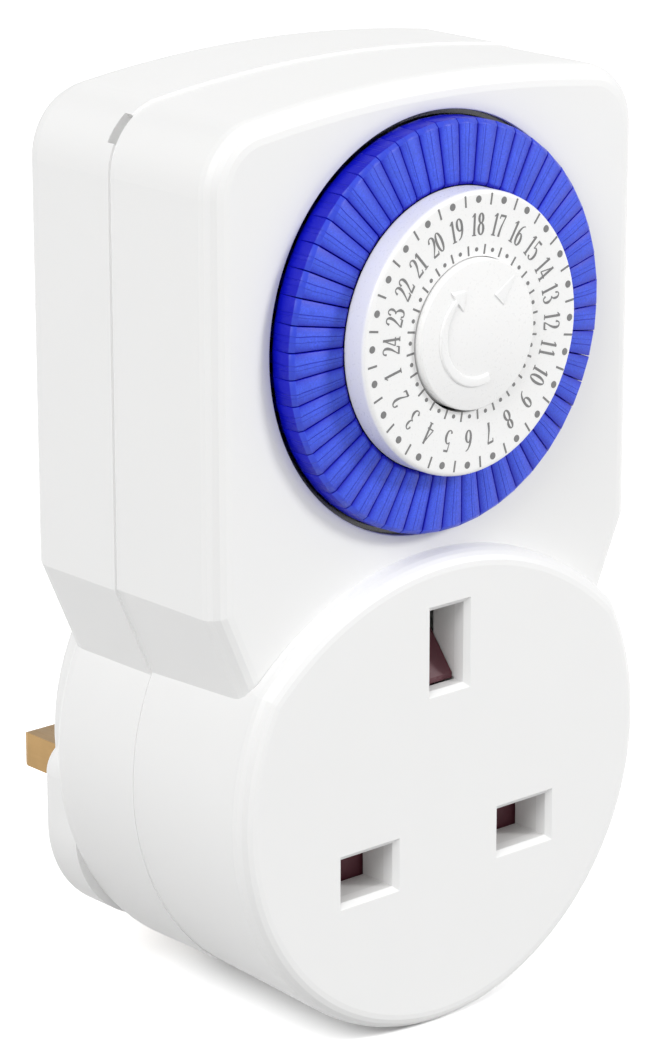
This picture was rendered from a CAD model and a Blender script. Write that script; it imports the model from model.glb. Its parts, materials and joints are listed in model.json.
"""Dresses the plug-in timer switch: finishes for every moulded and metal part, the dial's print,
the raised arrow on the cap and the studio that it is seen in. Lengths are in metres."""

import json
import math
import random

import bmesh
import bpy
from bpy.props import FloatProperty, FloatVectorProperty, PointerProperty
from mathutils import Matrix, Vector


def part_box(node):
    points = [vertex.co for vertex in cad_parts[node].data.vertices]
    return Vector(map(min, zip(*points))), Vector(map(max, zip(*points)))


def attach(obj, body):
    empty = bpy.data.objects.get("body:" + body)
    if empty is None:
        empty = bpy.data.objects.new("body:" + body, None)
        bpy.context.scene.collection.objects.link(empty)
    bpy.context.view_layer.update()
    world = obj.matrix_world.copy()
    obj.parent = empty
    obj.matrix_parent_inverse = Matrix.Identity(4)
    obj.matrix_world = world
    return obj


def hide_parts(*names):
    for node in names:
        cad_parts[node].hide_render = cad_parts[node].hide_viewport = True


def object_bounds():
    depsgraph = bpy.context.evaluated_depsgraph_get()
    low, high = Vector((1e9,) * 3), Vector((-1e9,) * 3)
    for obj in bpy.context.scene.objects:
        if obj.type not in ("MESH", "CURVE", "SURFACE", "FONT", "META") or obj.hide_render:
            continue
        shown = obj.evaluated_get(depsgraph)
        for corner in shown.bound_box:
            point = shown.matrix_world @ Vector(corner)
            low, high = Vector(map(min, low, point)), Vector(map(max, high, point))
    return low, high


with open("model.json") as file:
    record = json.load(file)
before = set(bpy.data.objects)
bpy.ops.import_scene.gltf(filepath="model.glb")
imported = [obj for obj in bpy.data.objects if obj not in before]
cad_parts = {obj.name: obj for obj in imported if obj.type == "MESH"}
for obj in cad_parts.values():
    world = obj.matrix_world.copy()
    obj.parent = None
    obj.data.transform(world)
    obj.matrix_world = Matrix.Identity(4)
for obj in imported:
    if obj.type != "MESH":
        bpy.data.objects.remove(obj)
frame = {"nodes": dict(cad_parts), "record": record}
CAD_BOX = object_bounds()

bl_info = {
    "name": "Timer switch finishes",
    "version": (1, 0, 0),
    "blender": (4, 5, 0),
    "location": "View3D > Sidebar > Timer",
    "description": "Gives a plug-in timer switch its finishes, dial print and studio",
    "category": "Object",
}

MM = 0.001
HOURS = 24
SEGMENTS = 48
NODES = frame["nodes"]
SLOT_OF = {part["node"]: part["material_slot"] for part in frame["record"]["subparts"]}

DISC_LOW, DISC_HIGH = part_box("dial_disc")
CAP_LOW, CAP_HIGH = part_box("dial_cap")
DIAL_Z = (DISC_LOW.z + DISC_HIGH.z) / 2
DISC_FRONT = DISC_LOW.y
CAP_FRONT = CAP_LOW.y
FLOOR_Z = CAD_BOX[0][2]

# A segment's head and the leg behind it, which keeps the CAD leg's size
HEAD_DEPTH = 3.3 * MM
LEG_IN, LEG_OUT, LEG_WIDTH = 16.7 * MM, 20.1 * MM, 1.2 * MM
LEG_OVERLAP = 0.05 * MM

# The gap round the carrier's rim, and how far the shell's face lies behind its foremost point
RIM_GAP = 0.5 * MM
FACE_BEHIND = 0.9 * MM

# How far print and raised marks reach into the surface below them
PRINT_SINK = 0.01 * MM
RAISED_SINK = 0.05 * MM

# Numbers of sections along the bent arrow and along its narrowing end
ARROW_STEPS, ARROW_TAPER = 40, 12

# The point that both lights are turned to
LIGHTS_AIM = (0.0, -0.02, 0.03)


# ---------------------------------------------------------------- settings

def colour(name, text, value):
    return FloatVectorProperty(name=name, description=text, default=value, subtype="COLOR",
                               min=0.0, max=1.0, size=3)


def length(name, text, value):
    return FloatProperty(name=name, description=text, default=value, unit="LENGTH", precision=5)


class TimerColours(bpy.types.PropertyGroup):
    housing: colour("Housing", "Colour of the two shells and the socket face",
                    (0.83, 0.83, 0.825))
    inner: colour("Inner mouldings", "Colour of the mouldings behind the apertures",
                  (0.76, 0.76, 0.75))
    dial: colour("Dial", "Colour of the dial disc and its cap", (0.86, 0.86, 0.855))
    ink: colour("Print", "Colour of the numbers and marks on the dial", (0.17, 0.17, 0.17))
    shutter: colour("Shutter", "Colour of the shutter behind the apertures", (0.09, 0.018, 0.028))
    segment_face: colour("Segment faces", "Colour of the segments seen from the front",
                         (0.05, 0.1, 0.74))
    segment_side: colour("Segment sides", "Colour of the segments' sides and bevels",
                         (0.001, 0.003, 0.46))
    carrier: colour("Carrier", "Colour of the ring that carries the segments",
                    (0.012, 0.012, 0.016))
    sleeve: colour("Sleeves", "Colour of the sleeves on the pins", (0.02, 0.02, 0.022))
    brass: colour("Brass", "Colour of the pins and contacts", (0.34, 0.215, 0.09))
    steel: colour("Steel", "Colour of the screws, spindles and plate", (0.62, 0.62, 0.64))
    gear: colour("Gears", "Colour of the gears and the switch lever", (0.78, 0.74, 0.6))
    slider: colour("Slider", "Colour of the override slider", (0.62, 0.03, 0.025))


class TimerPrint(bpy.types.PropertyGroup):
    turn: FloatProperty(name="Turn", description="Turn of the dial at rest",
                        default=math.radians(-2.6), subtype="ANGLE")
    lift: length("Lift", "How far the print and the cap sit above the disc's middle", 0.1 * MM)
    slide: length("Slide", "How far the print and the cap sit to the right of the disc's middle",
                  0.08 * MM)
    ink_height: length("Ink height", "How far the print stands off the disc", 0.02 * MM)
    number_height: length("Number height", "Height of the hour numbers", 2.3 * MM)
    number_radius: length("Number radius", "Radius of the ring of numbers", 11.15 * MM)
    number_width: FloatProperty(name="Number width", default=0.86, subtype="FACTOR",
                                description="Width of a number against its height")
    outer_radius: length("Outer marks", "Radius of the ring of marks outside the numbers",
                         13.7 * MM)
    outer_dot: length("Outer dot", "Radius of a dot outside the numbers", 0.38 * MM)
    outer_tick: length("Outer tick", "Length of a line outside the numbers", 1.2 * MM)
    inner_radius: length("Inner marks", "Radius of the ring of marks inside the numbers",
                         8.6 * MM)
    inner_dot: length("Inner dot", "Radius of a dot inside the numbers", 0.22 * MM)
    inner_tick: length("Inner tick", "Length of a line inside the numbers", 1.0 * MM)
    tick_width: length("Tick width", "Width of a line", 0.22 * MM)


class TimerSegments(bpy.types.PropertyGroup):
    inner_radius: length("Inner radius", "Radius of the segments' inner ends", 14.76 * MM)
    face_radius: length("Face radius", "Radius at which a segment's face ends", 20.98 * MM)
    outer_radius: length("Outer radius", "Radius of the segments' outer sides", 21.38 * MM)
    slope: length("Slope", "How much lower a face is at its outer end", 0.5 * MM)
    bevel: length("Bevel", "Depth of the bevel at the outer end", 0.42 * MM)
    gap: length("Gap", "Gap between neighbouring segments, which closes towards their backs",
                0.11 * MM)
    edge: length("Edge", "Rounding of a face's long edges", 0.05 * MM)
    unevenness: length("Unevenness", "How far single segments stand out of line", 0.05 * MM)


class TimerArrow(bpy.types.PropertyGroup):
    radius: length("Radius", "Radius of the middle of the bent arrow", 4.85 * MM)
    width: length("Width", "Width of the bent arrow", 1.1 * MM)
    rise: length("Rise", "Height of the arrow and the pointer above the cap", 0.22 * MM)
    tail: FloatProperty(name="Tail", description="Direction of the arrow's tail",
                        default=math.radians(-72), subtype="ANGLE")
    sweep: FloatProperty(name="Sweep", description="Angle from the arrow's tail to its head",
                         default=math.radians(-160), subtype="ANGLE")


class TimerStage(bpy.types.PropertyGroup):
    camera_position: FloatVectorProperty(name="Camera", description="Place of the camera", size=3,
                                         default=(-0.27842, -0.33144, 0.15823),
                                         subtype="TRANSLATION", unit="LENGTH", precision=5)
    camera_aim: FloatVectorProperty(name="Aim", description="Point that the camera looks at",
                                    size=3, default=(-0.00277, -0.02135, 0.03253),
                                    subtype="TRANSLATION", unit="LENGTH", precision=5)
    camera_roll: FloatProperty(name="Roll", description="Roll of the camera",
                               default=math.radians(-0.055), subtype="ANGLE", precision=4)
    lens: FloatProperty(name="Lens", description="Focal length of the camera", default=141.455,
                        unit="CAMERA", precision=3)
    floor_half: length("Floor", "Half the width of the floor", 4.0)
    floor_seen: FloatProperty(name="Floor seen", default=1.7,
                              description="Brightness of the floor as a white background")
    floor_lit: FloatProperty(name="Floor glow", default=0.46,
                             description="Brightness of the floor as it lights the object")
    sky: FloatProperty(name="Sky", description="Strength of the even light from all round",
                       default=0.58)
    left_place: FloatVectorProperty(name="Left light's place", size=3, default=(-0.9, -0.32, 0.76),
                                    description="Place of the light at the left",
                                    subtype="TRANSLATION", unit="LENGTH")
    left_size: length("Left light's size", "Width of the light at the left", 0.7)
    left_power: FloatProperty(name="Left light", description="Power of the light at the left",
                              default=7.9, unit="POWER")
    right_place: FloatVectorProperty(name="Right light's place", size=3,
                                     default=(0.74, -0.81, 0.53),
                                     description="Place of the light at the right",
                                     subtype="TRANSLATION", unit="LENGTH")
    right_size: length("Right light's size", "Width of the light at the right", 0.25)
    right_power: FloatProperty(name="Right light", description="Power of the light at the right",
                               default=6.5, unit="POWER")


def settings(context):
    scene = context.scene
    return (scene.timer_colours, scene.timer_print, scene.timer_arrow, scene.timer_stage,
            scene.timer_segments)


# ---------------------------------------------------------------- finishes

class Graph:
    """The nodes of one material."""

    def __init__(self, name):
        self.material = bpy.data.materials.new(name)
        self.material.use_nodes = True
        self.tree = self.material.node_tree
        self.shader = self.tree.nodes["Principled BSDF"]
        self.place = self.add("ShaderNodeTexCoord").outputs["Object"]

    def add(self, kind, inputs=None, **values):
        node = self.tree.nodes.new(kind)
        for key, value in values.items():
            setattr(node, key, value)
        for key, value in (inputs or {}).items():
            self.feed(node.inputs[key], value)
        return node

    def feed(self, socket, value):
        if isinstance(value, bpy.types.NodeSocket):
            self.tree.links.new(value, socket)
        elif socket.type == "RGBA":
            socket.default_value = (*value[:3], 1.0)
        else:
            socket.default_value = value

    def math(self, operation, a, b=0.0, c=0.0):
        node = self.add("ShaderNodeMath", {0: a, 1: b, 2: c}, operation=operation)
        return node.outputs[0]

    def noise(self, size, detail=2.0, roughness=0.5, stretch=None):
        place = self.place
        if stretch:
            place = self.add("ShaderNodeMapping", {"Vector": place, "Scale": stretch}).outputs[0]
        node = self.add("ShaderNodeTexNoise", {"Vector": place, "Scale": 1.0 / size,
                                               "Detail": detail, "Roughness": roughness})
        return node.outputs["Fac"]

    def spread(self, value, low, high, out_low=0.0, out_high=1.0, smooth=False):
        node = self.add("ShaderNodeMapRange", {"Value": value, "From Min": low, "From Max": high,
                                               "To Min": out_low, "To Max": out_high})
        if smooth:
            node.interpolation_type = "SMOOTHSTEP"
        return node.outputs["Result"]

    def mix(self, factor, a, b):
        node = self.add("ShaderNodeMix", data_type="RGBA")
        self.feed(node.inputs["Factor"], factor)
        self.feed(node.inputs[6], a)
        self.feed(node.inputs[7], b)
        return node.outputs[2]

    def bump(self, height, distance):
        node = self.add("ShaderNodeBump", {"Height": height, "Distance": distance, "Strength": 1.0})
        return node.outputs["Normal"]

    def set(self, **inputs):
        for key, value in inputs.items():
            socket = key.replace("_", " ").title().replace("Ior", "IOR")
            self.feed(self.shader.inputs[socket], value)


def shade(rgb, factor):
    return tuple(min(1.0, part * factor) for part in rgb[:3])


def moulded(name, rgb, roughness, grain, depth, sink=0.0, cloud=0.02):
    """Moulded plastic: fine spark-eroded grain, faint clouds of tone and a little flow mottling."""
    graph = Graph(name)
    fine = graph.noise(grain, 3.0, 0.6)
    broad = graph.noise(9 * MM, 2.0)
    tone = graph.mix(graph.spread(broad, 0.3, 0.7), shade(rgb, 1 - cloud), shade(rgb, 1 + cloud))
    specks = graph.spread(graph.noise(grain * 1.7, 2.0, 0.7), 0.35, 0.65)
    base = graph.mix(specks, tone, graph.mix(0.5, tone, shade(rgb, 1 - 1.6 * cloud)))
    graph.set(base_color=base, normal=graph.bump(fine, depth), ior=1.5,
              roughness=graph.spread(fine, 0.3, 0.7, roughness - 0.05, roughness + 0.06))
    if sink:
        graph.shader.inputs["Subsurface Weight"].default_value = sink
        graph.shader.inputs["Subsurface Radius"].default_value = (1.0, 0.9, 0.8)
        graph.shader.inputs["Subsurface Scale"].default_value = 0.6 * MM
    return graph.material


def segment_plastic(name, face, side, turn):
    """Blue segments: pale scuffed faces with fine radial hairlines, deep glossy sides and bevels.
    The ring is turned by the given angle, so that each segment has its own hairlines."""
    graph = Graph(name)
    split = graph.add("ShaderNodeSeparateXYZ", {0: graph.place}).outputs
    across, rise = split[0], graph.math("SUBTRACT", split[2], DIAL_Z)
    angle = graph.math("ARCTAN2", rise, across)
    per_angle = SEGMENTS / math.tau
    count = graph.math("MULTIPLY_ADD", angle, per_angle, SEGMENTS - turn * per_angle)
    index, part = graph.math("FLOOR", count), graph.math("FRACT", count)
    dice = graph.add("ShaderNodeTexWhiteNoise", {"W": index}, noise_dimensions="1D").outputs
    first = graph.spread(dice["Value"], 0, 1, 0.38, 0.62)
    second = graph.math("ADD", first, graph.spread(dice["Value"], 0, 1, 0.24, 0.1))
    normal = graph.add("ShaderNodeSeparateXYZ",
                       {0: graph.tree.nodes["Texture Coordinate"].outputs["Normal"]}).outputs[1]
    front = graph.spread(graph.math("MULTIPLY", normal, -1.0), 0.90, 0.985)
    square = graph.math("MULTIPLY_ADD", rise, rise, graph.math("MULTIPLY", across, across))
    radius = graph.math("SQRT", square)
    bevel = graph.math("MULTIPLY", graph.spread(graph.math("MULTIPLY", normal, -1.0), 0.3, 0.6),
                       graph.spread(radius, 20.86 * MM, 20.93 * MM))

    def hairline(centre, half):
        off = graph.math("ABSOLUTE", graph.math("SUBTRACT", part, centre))
        return graph.spread(off, half, half * 0.3, smooth=True)

    wavy = graph.noise(2.2 * MM, 1.0)
    drift = graph.spread(wavy, 0.0, 1.0, -0.03, 0.03)
    strong = hairline(graph.math("ADD", first, drift), 0.028)
    weak = hairline(graph.math("ADD", second, drift), 0.02)
    lines = graph.math("MAXIMUM", strong, graph.math("MULTIPLY", weak, 0.6))
    dust = graph.noise(0.22 * MM, 3.0, 0.7)
    broad = graph.noise(3.5 * MM, 2.0)
    pale = graph.mix(graph.spread(dust, 0.3, 0.72), shade(face, 0.8), shade(face, 1.28))
    pale = graph.mix(graph.spread(broad, 0.35, 0.7, 0.0, 0.35), pale, shade(face, 0.72))
    pale = graph.mix(graph.math("MULTIPLY", lines, 0.75), pale, side)
    middle = tuple(0.6 * a + 0.4 * b for a, b in zip(face, side))
    deep = graph.mix(bevel, side, middle)
    grain = graph.math("SUBTRACT", dust, graph.math("MULTIPLY", lines, 1.5))
    graph.set(base_color=graph.mix(front, deep, pale), ior=1.36,
              roughness=graph.spread(front, 0, 1, 0.36, 0.48), normal=graph.bump(grain, 0.03 * MM))
    return graph.material


def satin_metal(name, rgb, roughness, along):
    """Metal with drawn scratches and slightly uneven tarnish."""
    graph = Graph(name)
    drawn = graph.noise(0.4 * MM, 3.0, 0.6, along)
    broad = graph.noise(5 * MM, 3.0)
    base = graph.mix(graph.spread(broad, 0.3, 0.7), shade(rgb, 0.86), shade(rgb, 1.08))
    graph.set(base_color=base, metallic=1.0, normal=graph.bump(drawn, 0.01 * MM),
              roughness=graph.spread(drawn, 0.3, 0.7, roughness - 0.07, roughness + 0.1))
    return graph.material


# Moulded finishes by slot: colour, roughness, size and depth of the grain, share of the light that
# sinks in, strength of the clouds
MOULDED = {
    "housing_white": ("housing", 0.42, 0.16 * MM, 0.003 * MM, 0.05, 0.004),
    "inner_white": ("inner", 0.5, 0.2 * MM, 0.006 * MM, 0.0, 0.012),
    "dial_white": ("dial", 0.3, 0.3 * MM, 0.0015 * MM, 0.05, 0.003),
    "shutter_maroon": ("shutter", 0.45, 0.2 * MM, 0.008 * MM, 0.0, 0.08),
    "carrier_black": ("carrier", 0.28, 0.25 * MM, 0.006 * MM, 0.0, 0.15),
    "sleeve_black": ("sleeve", 0.4, 0.25 * MM, 0.006 * MM, 0.0, 0.12),
    "gear_ivory": ("gear", 0.4, 0.3 * MM, 0.004 * MM, 0.08, 0.03),
    "slider_red": ("slider", 0.38, 0.25 * MM, 0.005 * MM, 0.0, 0.05),
}

# Metal finishes by slot: colour, roughness, stretch of the drawn scratches
METALS = {
    "brass": ("brass", 0.32, (1.0, 0.06, 1.0)),
    "steel": ("steel", 0.34, (1.0, 1.0, 0.08)),
}


def finish_of(slot, colours):
    """The finish of one of the record's material slots."""
    name = "timer_" + slot
    made = bpy.data.materials.get(name)
    if made:
        return made
    if slot == "segment_blue":
        turn = colours.id_data.timer_print.turn
        return segment_plastic(name, colours.segment_face, colours.segment_side, turn)
    for table, make in ((MOULDED, moulded), (METALS, satin_metal)):
        if slot in table:
            rgb, *numbers = table[slot]
            return make(name, getattr(colours, rgb), *numbers)
    raise RuntimeError("no finish is written for the slot " + slot)


def ink(colours):
    made = bpy.data.materials.get("timer_ink")
    return made or moulded("timer_ink", colours.ink, 0.5, 0.12 * MM, 0.002 * MM, cloud=0.1)


def dress(names, colours):
    """Gives CAD nodes the finish of their slot."""
    for name in names:
        materials = NODES[name].data.materials
        materials.clear()
        materials.append(finish_of(SLOT_OF[name], colours))


# ---------------------------------------------------------------- shapes

def piece(name, solid, material, body, smooth=math.radians(35)):
    """Makes an object of a bmesh, which rides on a body of the frame."""
    bmesh.ops.recalc_face_normals(solid, faces=solid.faces)
    mesh = bpy.data.meshes.new(name)
    solid.to_mesh(mesh)
    solid.free()
    mesh.materials.append(material)
    mesh.shade_smooth()
    mesh.set_sharp_from_angle(angle=smooth)
    made = bpy.data.objects.new(name, mesh)
    bpy.context.scene.collection.objects.link(made)
    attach(made, body)
    return made


def prism(solid, outline, back, front):
    """Adds a solid with the given outline of (x, z) points between two depths."""
    near = [solid.verts.new((x, front, z)) for x, z in outline]
    far = [solid.verts.new((x, back, z)) for x, z in outline]
    count = len(outline)
    solid.faces.new(near)
    solid.faces.new(far[::-1])
    for i in range(count):
        j = (i + 1) % count
        solid.faces.new((near[j], near[i], far[i], far[j]))


def ribbon(points, closed=False):
    """Outline of a stroke through (x, z, width) points."""
    left, right = [], []
    count = len(points)
    for i, (x, z, width) in enumerate(points):
        before = points[i - 1] if i or closed else points[i]
        after = points[(i + 1) % count] if i < count - 1 or closed else points[i]
        dx, dz = after[0] - before[0], after[1] - before[1]
        size = math.hypot(dx, dz) or 1.0
        left.append((x - dz / size * width / 2, z + dx / size * width / 2))
        right.append((x + dz / size * width / 2, z - dx / size * width / 2))
    return left, right


def stroke(solid, points, back, front, closed=False):
    """Adds a stroke as a closed strip of quads."""
    left, right = ribbon(points, closed)
    rows = [[solid.verts.new((x, y, z)) for x, z, y in
             ((*a, front), (*b, front), (*b, back), (*a, back))] for a, b in zip(left, right)]
    spans = range(len(rows) if closed else len(rows) - 1)
    for i in spans:
        here, there = rows[i], rows[(i + 1) % len(rows)]
        for k in range(4):
            solid.faces.new((here[k], here[(k + 1) % 4], there[(k + 1) % 4], there[k]))
    if not closed:
        solid.faces.new(rows[0][::-1])
        solid.faces.new(rows[-1])


def flowing(points, steps=5):
    """A smooth path through (x, z, width) points."""
    path = []
    for i in range(len(points) - 1):
        p, q, r, s = (points[max(0, min(len(points) - 1, i + k))] for k in (-1, 0, 1, 2))
        for step in range(steps):
            t = step / steps
            path.append(tuple(0.5 * (2 * b + (c - a) * t + (2 * a - 5 * b + 4 * c - d) * t * t
                                     + (3 * b - a - 3 * c + d) * t ** 3)
                              for a, b, c, d in zip(p, q, r, s)))
    return path + [points[-1]]


def loop(x, z, half_w, half_h, thin=0.055, thick=0.125, count=16):
    """A closed oval whose sides are thicker than its top and foot."""
    return [(x + half_w * math.cos(a), z + half_h * math.sin(a),
             thin + (thick - thin) * abs(math.cos(a)) ** 1.5)
            for a in (math.tau * i / count for i in range(count))]


# Strokes of the numerals on a field one unit high: (x, z, width) points, and whether the path is
# straight, flowing or a closed loop
NUMERALS = {
    "0": [("loop", loop(0.24, 0.5, 0.175, 0.47))],
    "1": [("line", [(0.25, 0.0, 0.115), (0.25, 1.0, 0.115)]),
          ("line", [(0.09, 0.84, 0.05), (0.24, 0.975, 0.06)]),
          ("line", [(0.11, 0.025, 0.05), (0.39, 0.025, 0.05)])],
    "2": [("flow", [(0.07, 0.76, 0.1), (0.12, 0.92, 0.06), (0.24, 0.975, 0.055), (0.36, 0.91, 0.09),
                    (0.395, 0.75, 0.125), (0.33, 0.52, 0.1), (0.19, 0.27, 0.06),
                    (0.06, 0.07, 0.05)]),
          ("line", [(0.04, 0.05, 0.1), (0.43, 0.05, 0.1)]),
          ("line", [(0.42, 0.04, 0.05), (0.45, 0.19, 0.04)])],
    "3": [("flow", [(0.08, 0.8, 0.09), (0.14, 0.94, 0.055), (0.25, 0.975, 0.05), (0.36, 0.88, 0.09),
                    (0.37, 0.73, 0.11), (0.3, 0.58, 0.06), (0.18, 0.53, 0.045)]),
          ("flow", [(0.2, 0.53, 0.045), (0.33, 0.47, 0.07), (0.41, 0.28, 0.125), (0.36, 0.1, 0.09),
                    (0.23, 0.025, 0.05), (0.12, 0.05, 0.06), (0.06, 0.17, 0.1)])],
    "4": [("line", [(0.34, 0.0, 0.11), (0.34, 1.0, 0.11)]),
          ("line", [(0.35, 0.98, 0.05), (0.04, 0.3, 0.05)]),
          ("line", [(0.02, 0.28, 0.06), (0.46, 0.28, 0.06)]),
          ("line", [(0.22, 0.02, 0.045), (0.46, 0.02, 0.045)])],
    "5": [("line", [(0.11, 0.95, 0.1), (0.4, 0.95, 0.1)]),
          ("line", [(0.125, 0.97, 0.05), (0.095, 0.55, 0.045)]),
          ("flow", [(0.095, 0.55, 0.045), (0.22, 0.62, 0.055), (0.35, 0.54, 0.09),
                    (0.41, 0.33, 0.125), (0.35, 0.11, 0.09), (0.22, 0.025, 0.05),
                    (0.11, 0.05, 0.06), (0.06, 0.15, 0.1)])],
    "6": [("loop", loop(0.24, 0.3, 0.165, 0.275)),
          ("flow", [(0.4, 0.96, 0.04), (0.24, 0.87, 0.06), (0.12, 0.66, 0.1), (0.075, 0.4, 0.12),
                    (0.09, 0.22, 0.1)])],
    "7": [("line", [(0.05, 0.94, 0.1), (0.44, 0.94, 0.1)]),
          ("line", [(0.055, 0.96, 0.045), (0.035, 0.79, 0.04)]),
          ("flow", [(0.425, 0.94, 0.05), (0.31, 0.66, 0.06), (0.21, 0.35, 0.09),
                    (0.17, 0.0, 0.125)])],
    "8": [("loop", loop(0.24, 0.755, 0.135, 0.215)), ("loop", loop(0.24, 0.28, 0.165, 0.255))],
    "9": [("loop", loop(0.24, 0.7, 0.165, 0.275)),
          ("flow", [(0.08, 0.04, 0.04), (0.24, 0.13, 0.06), (0.36, 0.34, 0.1), (0.405, 0.6, 0.12),
                    (0.39, 0.78, 0.1)])],
}
ADVANCE = 0.47
LAYER = 0.0015 * MM


def print_number(solid, number, layout):
    """Adds an hour's number: its foot points at the axis and its top outwards."""
    text = str(number)
    angle = math.pi + math.tau * number / HOURS + layout.turn
    out = Vector((math.cos(angle), math.sin(angle)))
    side = Vector((out.y, -out.x))
    size = layout.number_height
    layer = 0
    for place, digit in enumerate(text):
        shift = (place - len(text) / 2) * ADVANCE
        for kind, points in NUMERALS[digit]:
            path = flowing(points) if kind == "flow" else points
            placed = []
            for x, z, width in path:
                spot = side * ((x + shift) * size * layout.number_width)
                spot += out * (layout.number_radius + (z - 0.5) * size)
                placed.append((layout.slide + spot.x, DIAL_Z + layout.lift + spot.y, width * size))
            top = DISC_FRONT - layout.ink_height - layer * LAYER
            stroke(solid, placed, DISC_FRONT + PRINT_SINK, top, closed=kind == "loop")
            layer += 1


def print_marks(solid, layout, radius, dot, tick):
    """Adds a ring of a dot on each hour and a line on each half hour."""
    top, back = DISC_FRONT - layout.ink_height, DISC_FRONT + PRINT_SINK
    for mark in range(2 * HOURS):
        angle = math.pi + math.tau * mark / (2 * HOURS) + layout.turn
        out = Vector((math.cos(angle), math.sin(angle)))
        middle = Vector((layout.slide, DIAL_Z + layout.lift))
        if mark % 2:
            ends = [middle + out * (radius - tick / 2), middle + out * (radius + tick / 2)]
            stroke(solid, [(p.x, p.y, layout.tick_width) for p in ends], back, top)
        else:
            centre = middle + out * radius
            prism(solid, [(centre.x + dot * math.cos(a), centre.y + dot * math.sin(a))
                          for a in (math.tau * i / 20 for i in range(20))], back, top)


def turned(solid, section, middle=(0.0, 0.0), steps=192):
    """Adds a solid turned about a line beside the dial's axis: a section that ends where it starts
    makes a ring, any other is closed by flat ends."""
    is_ring = section[0] == section[-1]
    points = section[:-1] if is_ring else section
    rings = []
    for i in range(steps):
        angle = math.tau * i / steps
        rings.append([solid.verts.new((middle[0] + radius * math.cos(angle), depth,
                                       DIAL_Z + middle[1] + radius * math.sin(angle)))
                      for radius, depth in points])
    for here, there in zip(rings, rings[1:] + rings[:1]):
        for k in range(len(points) if is_ring else len(points) - 1):
            m = (k + 1) % len(points)
            solid.faces.new((here[k], here[m], there[m], there[k]))
    if not is_ring:
        solid.faces.new([ring[0] for ring in rings])
        solid.faces.new([ring[-1] for ring in rings][::-1])


def raised(solid, sections, rise, front):
    """Adds a low bevelled band through sections of (centre, side, half width, share of the rise),
    closed at both ends."""
    profile = [(-1.0, 0.0), (-0.9, 0.55), (-0.72, 0.95), (-0.62, 1.0), (0.62, 1.0), (0.72, 0.95),
               (0.9, 0.55), (1.0, 0.0)]
    rows = []
    for centre, side, half, tall in sections:
        rows.append([solid.verts.new((centre.x + side.x * half * u, front - rise * tall * v,
                                      DIAL_Z + centre.y + side.y * half * u)) for u, v in profile])
        base = rows[-1]
        for u in (1.0, -1.0):
            base.append(solid.verts.new((centre.x + side.x * half * u, front + RAISED_SINK,
                                         DIAL_Z + centre.y + side.y * half * u)))
    count = len(profile) + 2
    for here, there in zip(rows, rows[1:]):
        for k in range(count):
            solid.faces.new((here[k], here[(k + 1) % count], there[(k + 1) % count], there[k]))
    solid.faces.new(rows[0][::-1])
    solid.faces.new(rows[-1])


# ---------------------------------------------------------------- operators

class TIMER_OT_housing(bpy.types.Operator):
    """Finish the shells, the socket face and the mouldings behind the apertures"""
    bl_idname = "timer.housing"
    bl_label = "Finish housing"

    def execute(self, context):
        colours = settings(context)[0]
        dress(["front_shell", "socket_face", "rear_shell", "aperture_block", "contact_carrier",
               "shutter", "shutter_spring", "housing_screws"], colours)
        return {"FINISHED"}


class TIMER_OT_pins(bpy.types.Operator):
    """Finish the plug's pins and sleeves and the socket's contacts"""
    bl_idname = "timer.pins"
    bl_label = "Finish pins and contacts"

    def execute(self, context):
        colours = settings(context)[0]
        dress(["line_pin", "neutral_pin", "earth_pin", "line_pin_sleeve", "neutral_pin_sleeve",
               "line_contact", "neutral_contact", "earth_contact"], colours)
        return {"FINISHED"}


class TIMER_OT_movement(bpy.types.Operator):
    """Finish the motor, the gears, the switch and the override slider"""
    bl_idname = "timer.movement"
    bl_label = "Finish movement"

    def execute(self, context):
        colours = settings(context)[0]
        dress(["movement_plate", "motor_can", "motor_pinion", "reduction_gear", "gear_spindle",
               "switch_lever", "lever_pin", "moving_contact", "fixed_contact", "override_slider",
               "dial_pillar"], colours)
        return {"FINISHED"}


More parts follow.
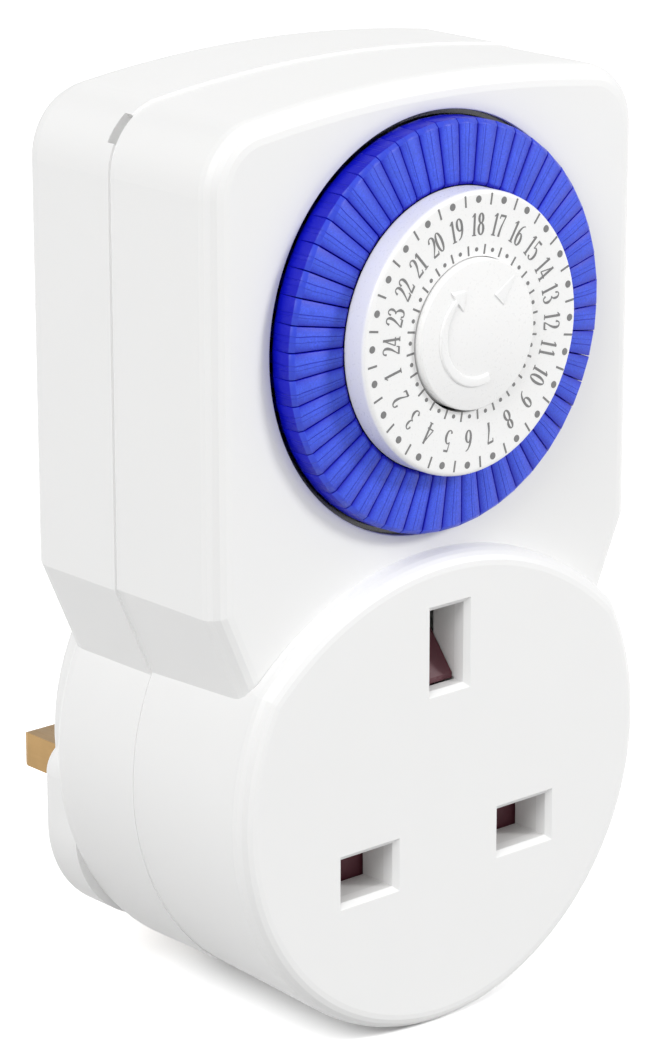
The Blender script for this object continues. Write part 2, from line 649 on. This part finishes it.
class TIMER_OT_segments(bpy.types.Operator):
    """Make the ring of half-hour segments with their sloping faces, and finish their carrier"""
    bl_idname = "timer.segments"
    bl_label = "Make segments"

    def execute(self, context):
        colours, layout = settings(context)[0], settings(context)[4]
        turn = settings(context)[1].turn
        dress(["segment_carrier"], colours)
        blue = finish_of("segment_blue", colours)
        dice = random.Random(48)
        for hour in range(1, HOURS + 1):
            node = "hour_segments_%02d" % hour
            low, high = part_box(node)
            solid = bmesh.new()
            for half_hour in (0, 1):
                angle = math.pi + turn + math.tau * (2 * hour + half_hour + 0.5) / SEGMENTS
                self.add_segment(solid, angle, low.y, high.y, layout, dice)
            made = piece("hour_%02d_segments" % hour, solid, blue,
                         "hour_%02d" % hour, smooth=math.radians(50))
            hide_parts(node)
        return {"FINISHED"}

    @staticmethod
    def add_segment(solid, angle, front, foot, layout, dice):
        """Adds one segment: a wedge-shaped head with softened edges on a flat leg."""
        half_pitch = math.pi / SEGMENTS
        inset = layout.gap / 2 / math.cos(half_pitch)
        stand = dice.uniform(0.2, 1.0) * layout.unevenness
        reach = dice.uniform(-1.0, 0.6) * layout.unevenness
        lean = dice.uniform(-0.7, 0.7) * layout.unevenness
        back = front + HEAD_DEPTH
        inner, face, outer = layout.inner_radius, layout.face_radius + reach, layout.outer_radius
        end = front + layout.slope
        soft = layout.edge
        # From the back of the inner end over its rounded corner, down the face and over the bevel
        profile = [(inner, back), (inner, front + 0.26 * MM),
                   (inner + 0.08 * MM, front + 0.17 * MM), (inner + 0.5 * MM, front),
                   (face - 0.1 * MM, end), (face, end + 0.03 * MM),
                   (outer - soft, end + layout.bevel - soft), (outer, end + layout.bevel + soft),
                   (outer, back)]
        out = Vector((math.cos(angle), math.sin(angle)))
        side = Vector((-out.y, out.x))
        columns = []
        for place in (-1, 1):
            for edge in ((soft, 0.0) if place < 0 else (0.0, soft)):
                column = []
                for radius, depth in profile:
                    near_front = 0.0 if depth == back else 1.0
                    taper = inset if near_front else 0.15 * inset
                    across = place * (radius * math.tan(half_pitch) - taper - (soft - edge))
                    sink = edge * near_front + stand + lean * place * near_front
                    spot = out * (radius - edge * near_front * (radius > face)) + side * across
                    column.append(solid.verts.new((spot.x, depth + sink * near_front,
                                                   DIAL_Z + spot.y)))
                columns.append(column)
        rows = len(profile)
        for here, there in zip(columns, columns[1:]):
            for k in range(rows - 1):
                solid.faces.new((here[k], here[k + 1], there[k + 1], there[k]))
            solid.faces.new((here[-1], here[0], there[0], there[-1]))
        solid.faces.new(columns[0][::-1])
        solid.faces.new(columns[-1])
        corners = []
        for radius in (LEG_IN, LEG_OUT):
            for place in (-0.5, 0.5):
                spot = out * radius + side * place * LEG_WIDTH
                corners.append((spot.x, DIAL_Z + spot.y))
        prism(solid, [corners[0], corners[1], corners[3], corners[2]], foot, back - LEG_OVERLAP)


class TIMER_OT_lip(bpy.types.Operator):
    """Narrow the dial's recess with a ring that lies flush with the shell's face"""
    bl_idname = "timer.lip"
    bl_label = "Make recess lip"

    def execute(self, context):
        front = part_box("front_shell")[0].y + FACE_BEHIND
        low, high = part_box("segment_carrier")
        hole = (high.x - low.x) / 2 + RIM_GAP
        reach = 0.6 * MM
        flush, back = front - 0.003 * MM, front + 0.62 * MM
        edge = hole - reach
        section = [(hole + reach, flush), (edge + 0.2 * MM, flush),
                   (edge + 0.06 * MM, flush + 0.05 * MM), (edge, flush + 0.17 * MM),
                   (edge, back), (hole + reach, back)]
        solid = bmesh.new()
        turned(solid, section + section[:1])
        piece("recess_lip", solid, finish_of("housing_white", settings(context)[0]),
              "housing", smooth=math.radians(25))
        return {"FINISHED"}


class TIMER_OT_dial(bpy.types.Operator):
    """Finish the dial disc and turn its cap, which has a fine edge and a stem"""
    bl_idname = "timer.dial"
    bl_label = "Finish dial and make cap"

    def execute(self, context):
        colours, layout = settings(context)[:2]
        dress(["dial_disc"], colours)
        radius = (CAP_HIGH.x - CAP_LOW.x) / 2
        cap = bmesh.new()
        stem, thick, edge = 1.6 * MM, 2 * MM, 0.17 * MM
        turned(cap, [(stem, CAP_HIGH.y), (stem, CAP_FRONT + thick), (radius, CAP_FRONT + thick),
                     (radius, CAP_FRONT + edge), (radius - 0.05 * MM, CAP_FRONT + 0.05 * MM),
                     (radius - edge, CAP_FRONT)], (layout.slide, layout.lift))
        made = piece("turned_cap", cap, finish_of("dial_white", colours), "housing",
                     smooth=math.radians(50))
        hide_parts("dial_cap")
        return {"FINISHED"}


class TIMER_OT_print(bpy.types.Operator):
    """Print the hour numbers and the two rings of marks on the dial"""
    bl_idname = "timer.print"
    bl_label = "Print dial"

    def execute(self, context):
        colours, layout = settings(context)[:2]
        numbers = bmesh.new()
        for hour in range(1, HOURS + 1):
            print_number(numbers, hour, layout)
        piece("dial_numbers", numbers, ink(colours), "dial")
        outer = bmesh.new()
        print_marks(outer, layout, layout.outer_radius, layout.outer_dot, layout.outer_tick)
        piece("dial_outer_marks", outer, ink(colours), "dial")
        inner = bmesh.new()
        print_marks(inner, layout, layout.inner_radius, layout.inner_dot, layout.inner_tick)
        piece("dial_inner_marks", inner, ink(colours), "dial")
        return {"FINISHED"}


class TIMER_OT_arrow(bpy.types.Operator):
    """Raise the bent arrow and the pointer on the cap"""
    bl_idname = "timer.arrow"
    bl_label = "Raise cap arrow"

    def execute(self, context):
        colours, layout, arrow = settings(context)[:3]
        middle = Vector((layout.slide, layout.lift))
        solid = bmesh.new()
        sections = []
        for i in range(ARROW_STEPS + 1):
            angle = arrow.tail + arrow.sweep * i / ARROW_STEPS
            out = Vector((math.cos(angle), math.sin(angle)))
            near_head = min(1.0, (ARROW_STEPS - i) / ARROW_TAPER)
            sections.append((middle + out * (arrow.radius + 0.1 * MM * (1 - near_head)), out,
                             arrow.width / 2 * (0.55 + 0.45 * near_head), min(1.0, 0.7 + i)))
        raised(solid, sections, arrow.rise, CAP_FRONT)
        head = arrow.tail + arrow.sweep
        out = Vector((math.cos(head), math.sin(head)))
        ahead = Vector((out.y, -out.x))
        tip = out * arrow.radius + ahead * 1.5 * MM
        sections = []
        for share in (0.0, 0.25, 0.5, 0.75, 1.0):
            centre = middle + (out * arrow.radius).lerp(tip, share)
            sections.append((centre, out, (1.35 * (1 - share) + 0.12) * MM, 1.0 - 0.5 * share))
        raised(solid, sections, arrow.rise * 0.75, CAP_FRONT)
        piece("cap_arrow", solid, finish_of("dial_white", colours), "housing")
        pointer = bmesh.new()
        foot, tip = Vector((2.85, 3.15)) * MM, Vector((5.0, 5.35)) * MM
        side = (tip - foot).normalized()
        side = Vector((side.y, -side.x))
        sections = []
        for share in (0.0, 0.3, 0.6, 0.85, 1.0):
            sections.append((middle + foot.lerp(tip, share), side, (0.9 * (1 - share) + 0.08) * MM,
                             1.0 - 0.6 * share))
        raised(pointer, sections, arrow.rise * 0.55, CAP_FRONT)
        piece("cap_pointer", pointer, finish_of("dial_white", colours), "housing")
        return {"FINISHED"}


class TIMER_OT_stage(bpy.types.Operator):
    """Set up the floor, the sky, the lights and the camera"""
    bl_idname = "timer.stage"
    bl_label = "Set up stage"

    def execute(self, context):
        stage = settings(context)[3]
        self.make_floor(stage)
        self.make_sky(context, stage)
        self.make_light("left_light", stage.left_place, stage.left_size, stage.left_power)
        self.make_light("right_light", stage.right_place, stage.right_size, stage.right_power)
        self.make_camera(context, stage)
        context.scene.view_settings.view_transform = "Standard"
        return {"FINISHED"}

    @staticmethod
    def make_floor(stage):
        half = stage.floor_half
        mesh = bpy.data.meshes.new("floor")
        mesh.from_pydata([(-half, -half, FLOOR_Z), (half, -half, FLOOR_Z), (half, half, FLOOR_Z),
                          (-half, half, FLOOR_Z)], [], [(0, 1, 2, 3)])
        material = bpy.data.materials.new("timer_floor")
        material.use_nodes = True
        tree = material.node_tree
        tree.nodes.clear()
        seen = tree.nodes.new("ShaderNodeBsdfDiffuse")
        seen.inputs["Color"].default_value = (*[stage.floor_seen] * 3, 1.0)
        lit = tree.nodes.new("ShaderNodeBsdfDiffuse")
        lit.inputs["Color"].default_value = (*[stage.floor_lit] * 3, 1.0)
        choose_by_ray(tree, lit, seen, "ShaderNodeOutputMaterial")
        mesh.materials.append(material)
        floor = bpy.data.objects.new("floor", mesh)
        bpy.context.scene.collection.objects.link(floor)

    @staticmethod
    def make_sky(context, stage):
        world = bpy.data.worlds.new("timer_sky")
        context.scene.world = world
        world.use_nodes = True
        tree = world.node_tree
        tree.nodes.clear()
        lit = tree.nodes.new("ShaderNodeBackground")
        lit.inputs["Strength"].default_value = stage.sky
        seen = tree.nodes.new("ShaderNodeBackground")
        for node in (lit, seen):
            node.inputs["Color"].default_value = (1.0, 1.0, 1.0, 1.0)
        choose_by_ray(tree, lit, seen, "ShaderNodeOutputWorld")

    @staticmethod
    def make_light(name, place, size, power):
        lamp = bpy.data.lights.new(name, "AREA")
        lamp.shape = "DISK"
        lamp.size = size
        lamp.energy = power
        made = bpy.data.objects.new(name, lamp)
        made.location = place
        towards = Vector(LIGHTS_AIM) - made.location
        made.rotation_euler = towards.to_track_quat("-Z", "Y").to_euler()
        bpy.context.scene.collection.objects.link(made)

    @staticmethod
    def make_camera(context, stage):
        camera = bpy.data.cameras.new("camera")
        camera.lens = stage.lens
        camera.sensor_width = 36.0
        camera.clip_start = 0.01
        made = bpy.data.objects.new("camera", camera)
        place = Vector(stage.camera_position)
        back = (place - Vector(stage.camera_aim)).normalized()
        right = Vector((0.0, 0.0, 1.0)).cross(back).normalized()
        up = back.cross(right)
        axes = Matrix((right, up, back)).transposed().to_4x4()
        roll = Matrix.Rotation(stage.camera_roll, 4, "Z")
        made.matrix_world = Matrix.Translation(place) @ axes @ roll
        context.scene.collection.objects.link(made)
        context.scene.camera = made


def seen_by(tree, rays):
    """1 for rays that show the background: from the camera, reflected or passed through."""
    first = tree.nodes.new("ShaderNodeMath")
    first.operation = "MAXIMUM"
    tree.links.new(rays.outputs["Is Camera Ray"], first.inputs[0])
    tree.links.new(rays.outputs["Is Glossy Ray"], first.inputs[1])
    second = tree.nodes.new("ShaderNodeMath")
    second.operation = "MAXIMUM"
    tree.links.new(first.outputs[0], second.inputs[0])
    tree.links.new(rays.outputs["Is Transmission Ray"], second.inputs[1])
    return second.outputs[0]


def choose_by_ray(tree, lit, seen, output_kind):
    """Shows one shader as the background and uses the other for all light that it gives."""
    rays = tree.nodes.new("ShaderNodeLightPath")
    choose = tree.nodes.new("ShaderNodeMixShader")
    tree.links.new(seen_by(tree, rays), choose.inputs[0])
    tree.links.new(lit.outputs[0], choose.inputs[1])
    tree.links.new(seen.outputs[0], choose.inputs[2])
    output = tree.nodes.new(output_kind)
    tree.links.new(choose.outputs[0], output.inputs["Surface"])


STEPS = (TIMER_OT_housing, TIMER_OT_lip, TIMER_OT_pins, TIMER_OT_movement, TIMER_OT_segments,
         TIMER_OT_dial, TIMER_OT_print, TIMER_OT_arrow, TIMER_OT_stage)


class TIMER_PT_panel(bpy.types.Panel):
    bl_idname = "TIMER_PT_panel"
    bl_label = "Timer switch"
    bl_space_type = "VIEW_3D"
    bl_region_type = "UI"
    bl_category = "Timer"

    def draw(self, context):
        layout = self.layout
        for step in STEPS:
            layout.operator(step.bl_idname)
        for group in settings(context):
            box = layout.box()
            for name in group.bl_rna.properties.keys():
                if name not in ("rna_type", "name"):
                    box.prop(group, name)


GROUPS = {"timer_colours": TimerColours, "timer_print": TimerPrint, "timer_arrow": TimerArrow,
          "timer_stage": TimerStage, "timer_segments": TimerSegments}


def register():
    for made in (*GROUPS.values(), *STEPS, TIMER_PT_panel):
        bpy.utils.register_class(made)
    for name, group in GROUPS.items():
        setattr(bpy.types.Scene, name, PointerProperty(type=group))


def unregister():
    for name in GROUPS:
        delattr(bpy.types.Scene, name)
    for made in (TIMER_PT_panel, *STEPS[::-1], *GROUPS.values()):
        bpy.utils.unregister_class(made)


def main():
    register()
    for step in STEPS:
        group, name = step.bl_idname.split(".")
        getattr(getattr(bpy.ops, group), name)()


if __name__ == "__main__":
    main()
